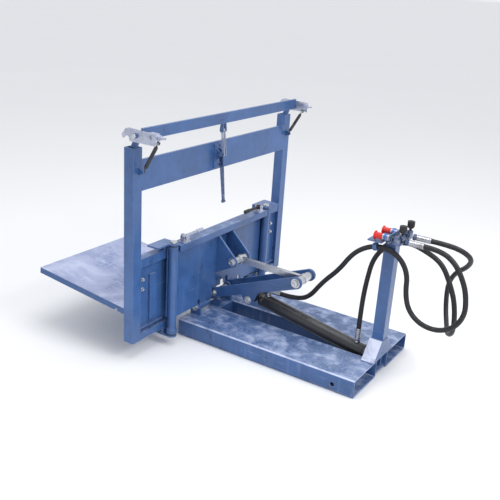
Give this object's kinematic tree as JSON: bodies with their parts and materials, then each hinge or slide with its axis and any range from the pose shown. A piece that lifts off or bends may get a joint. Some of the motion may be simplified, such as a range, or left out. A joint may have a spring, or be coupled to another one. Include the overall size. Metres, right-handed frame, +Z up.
{
  "type": "fork-mounted box tipper",
  "caption": "Fork-carried hydraulic forward tipper: two fork pockets, a tilting mast with a low shelf, and a hook bar that holds a box while it is tipped.",
  "frame": {"origin": "midway between the two fork pockets, on the plane of their undersides, below the rear face of the mast", "axes": "+X forward, away from the truck, +Y left, +Z up"},
  "size_m": [1.7596, 1.2, 1.002],
  "materials": {
    "blue_paint": "satin",
    "deck_steel": "worn satin",
    "pale_zinc": "satin zinc plate",
    "bright_steel": "ground",
    "chrome_rod": "polished",
    "black_paint": "satin",
    "hose_rubber": "matt",
    "zinc_fitting": "zinc plated",
    "black_plastic": "matt",
    "red_cap": "soft",
    "spring_steel": "dark oiled",
    "anodised": "zinc and blue sleeve"
  },
  "bodies": {
    "base": {"left_fork_pocket": "blue_paint", "right_fork_pocket": "blue_paint", "cross_members": "blue_paint", "pivot_lugs": "blue_paint", "cylinder_lugs": "blue_paint", "hinge_shaft": "bright_steel", "lever_pivot_pin": "bright_steel", "cylinder_base_pin": "bright_steel", "rear_arch": "blue_paint", "post": "blue_paint", "coupler_bracket": "blue_paint", "left_coupler": "anodised", "right_coupler": "anodised", "left_flow_valve": "zinc_fitting", "right_flow_valve": "zinc_fitting", "hose_bracket": "blue_paint", "gland_hose": "hose_rubber", "base_hose": "hose_rubber"},
    "barrel": {"barrel_tube": "black_paint", "barrel_base_eye": "black_paint", "gland_nut": "black_paint", "base_port_fitting": "zinc_fitting", "gland_port_fitting": "zinc_fitting"},
    "rod": {"piston_rod": "chrome_rod", "rod_eye": "black_paint"},
    "lever": {"left_lever_plate": "blue_paint", "right_lever_plate": "blue_paint", "link_pin": "bright_steel", "rod_pin_stubs": "bright_steel"},
    "link": {"link_bar": "bright_steel", "link_bush": "bright_steel"},
    "carriage": {"carriage_plate": "blue_paint", "carriage_rail": "blue_paint", "hinge_tubes": "blue_paint", "hinge_knuckles": "blue_paint", "left_link_gusset": "blue_paint", "right_link_gusset": "blue_paint", "link_anchor_stubs": "bright_steel", "latch_brackets": "pale_zinc", "left_upright": "blue_paint", "right_upright": "blue_paint", "crossbar": "blue_paint", "lower_frame": "blue_paint", "lower_panel": "blue_paint", "hinge_ears": "blue_paint", "hinge_pins": "bright_steel", "deck": "deck_steel", "mast_lugs": "blue_paint", "clamp_bracket": "blue_paint", "hook_springs": "spring_steel"},
    "hook_bar": {"hook_bar": "blue_paint", "hook_brackets": "pale_zinc"},
    "clamp_handle": {"clamp_handle": "black_plastic"},
    "clamp_link": {"clamp_link": "pale_zinc"},
    "left_latch": {"left_latch": "pale_zinc"},
    "right_latch": {"right_latch": "black_plastic"},
    "left_valve_knob": {"left_valve_knob": "black_plastic"},
    "right_valve_knob": {"right_valve_knob": "black_plastic"},
    "left_dust_cap": {"left_dust_cap": "red_cap"},
    "right_dust_cap": {"right_dust_cap": "red_cap"}
  },
  "joints": [
    {"name": "mast_tip", "type": "hinge", "parent": "base", "child": "carriage", "pos_m": [-0.022, 0, 0.116], "axis": [0, 1, 0], "range_deg": [0, 110]},
    {"name": "lever_swing", "type": "hinge", "parent": "base", "child": "lever", "pos_m": [-0.034, 0, 0.153], "axis": [0, 1, 0], "range_deg": [0, 115.84]},
    {"name": "link_swing", "type": "hinge", "parent": "lever", "child": "link", "pos_m": [-0.467, 0, 0.322], "axis": [0, 1, 0], "range_deg": [-8.82, 0]},
    {"name": "barrel_swing", "type": "hinge", "parent": "base", "child": "barrel", "pos_m": [-0.84, 0, 0.06], "axis": [0, 1, 0], "range_deg": [-5.71, 0], "deforming": ["gland_hose", "base_hose"]},
    {"name": "rod_slide", "type": "slide", "parent": "barrel", "child": "rod", "axis": [0.9839, 0, 0.1785], "range_m": [0, 0.32124]},
    {"name": "clamp_swing", "type": "hinge", "parent": "carriage", "child": "clamp_handle", "pos_m": [-0.025, 0.045, 0.815], "axis": [0, 1, 0], "range_deg": [0, 76]},
    {"name": "hook_tilt", "type": "hinge", "parent": "carriage", "child": "hook_bar", "pos_m": [-0.003, 0, 0.97], "axis": [0, 1, 0], "range_deg": [0, 19.97], "deforming": ["hook_springs"]},
    {"name": "clamp_link_swing", "type": "hinge", "parent": "clamp_handle", "child": "clamp_link", "pos_m": [-0.03977, 0.045, 0.81761], "axis": [0, 1, 0], "range_deg": [-90.66, 0]},
    {"name": "left_latch_lift", "type": "hinge", "parent": "carriage", "child": "left_latch", "pos_m": [-0.03, 0.3, 0.494], "axis": [-1, 0, 0], "range_deg": [0, 100]},
    {"name": "right_latch_lift", "type": "hinge", "parent": "carriage", "child": "right_latch", "pos_m": [-0.03, -0.3, 0.494], "axis": [1, 0, 0], "range_deg": [0, 100]},
    {"name": "left_knob_turn", "type": "hinge", "parent": "base", "child": "left_valve_knob", "pos_m": [-0.908, 0.042, 0.66], "axis": [0, 0, 1], "range_deg": [0, 270]},
    {"name": "right_knob_turn", "type": "hinge", "parent": "base", "child": "right_valve_knob", "pos_m": [-0.908, -0.042, 0.66], "axis": [0, 0, 1], "range_deg": [0, 270]},
    {"name": "left_cap_pull", "type": "slide", "parent": "base", "child": "left_dust_cap", "axis": [1, 0, 0], "range_m": [0, 0.045]},
    {"name": "right_cap_pull", "type": "slide", "parent": "base", "child": "right_dust_cap", "axis": [1, 0, 0], "range_m": [0, 0.045]}
  ],
  "couplings": [
    {"joint": "lever_swing", "follows": "mast_tip", "ratio": 1.0531},
    {"joint": "link_swing", "follows": "mast_tip", "ratio": -0.080152},
    {"joint": "barrel_swing", "follows": "mast_tip", "ratio": -0.051868},
    {"joint": "rod_slide", "follows": "mast_tip", "m_per_rad": 0.16733},
    {"joint": "hook_tilt", "follows": "clamp_swing", "ratio": 0.26273},
    {"joint": "clamp_link_swing", "follows": "clamp_swing", "ratio": -1.1929}
  ]
}
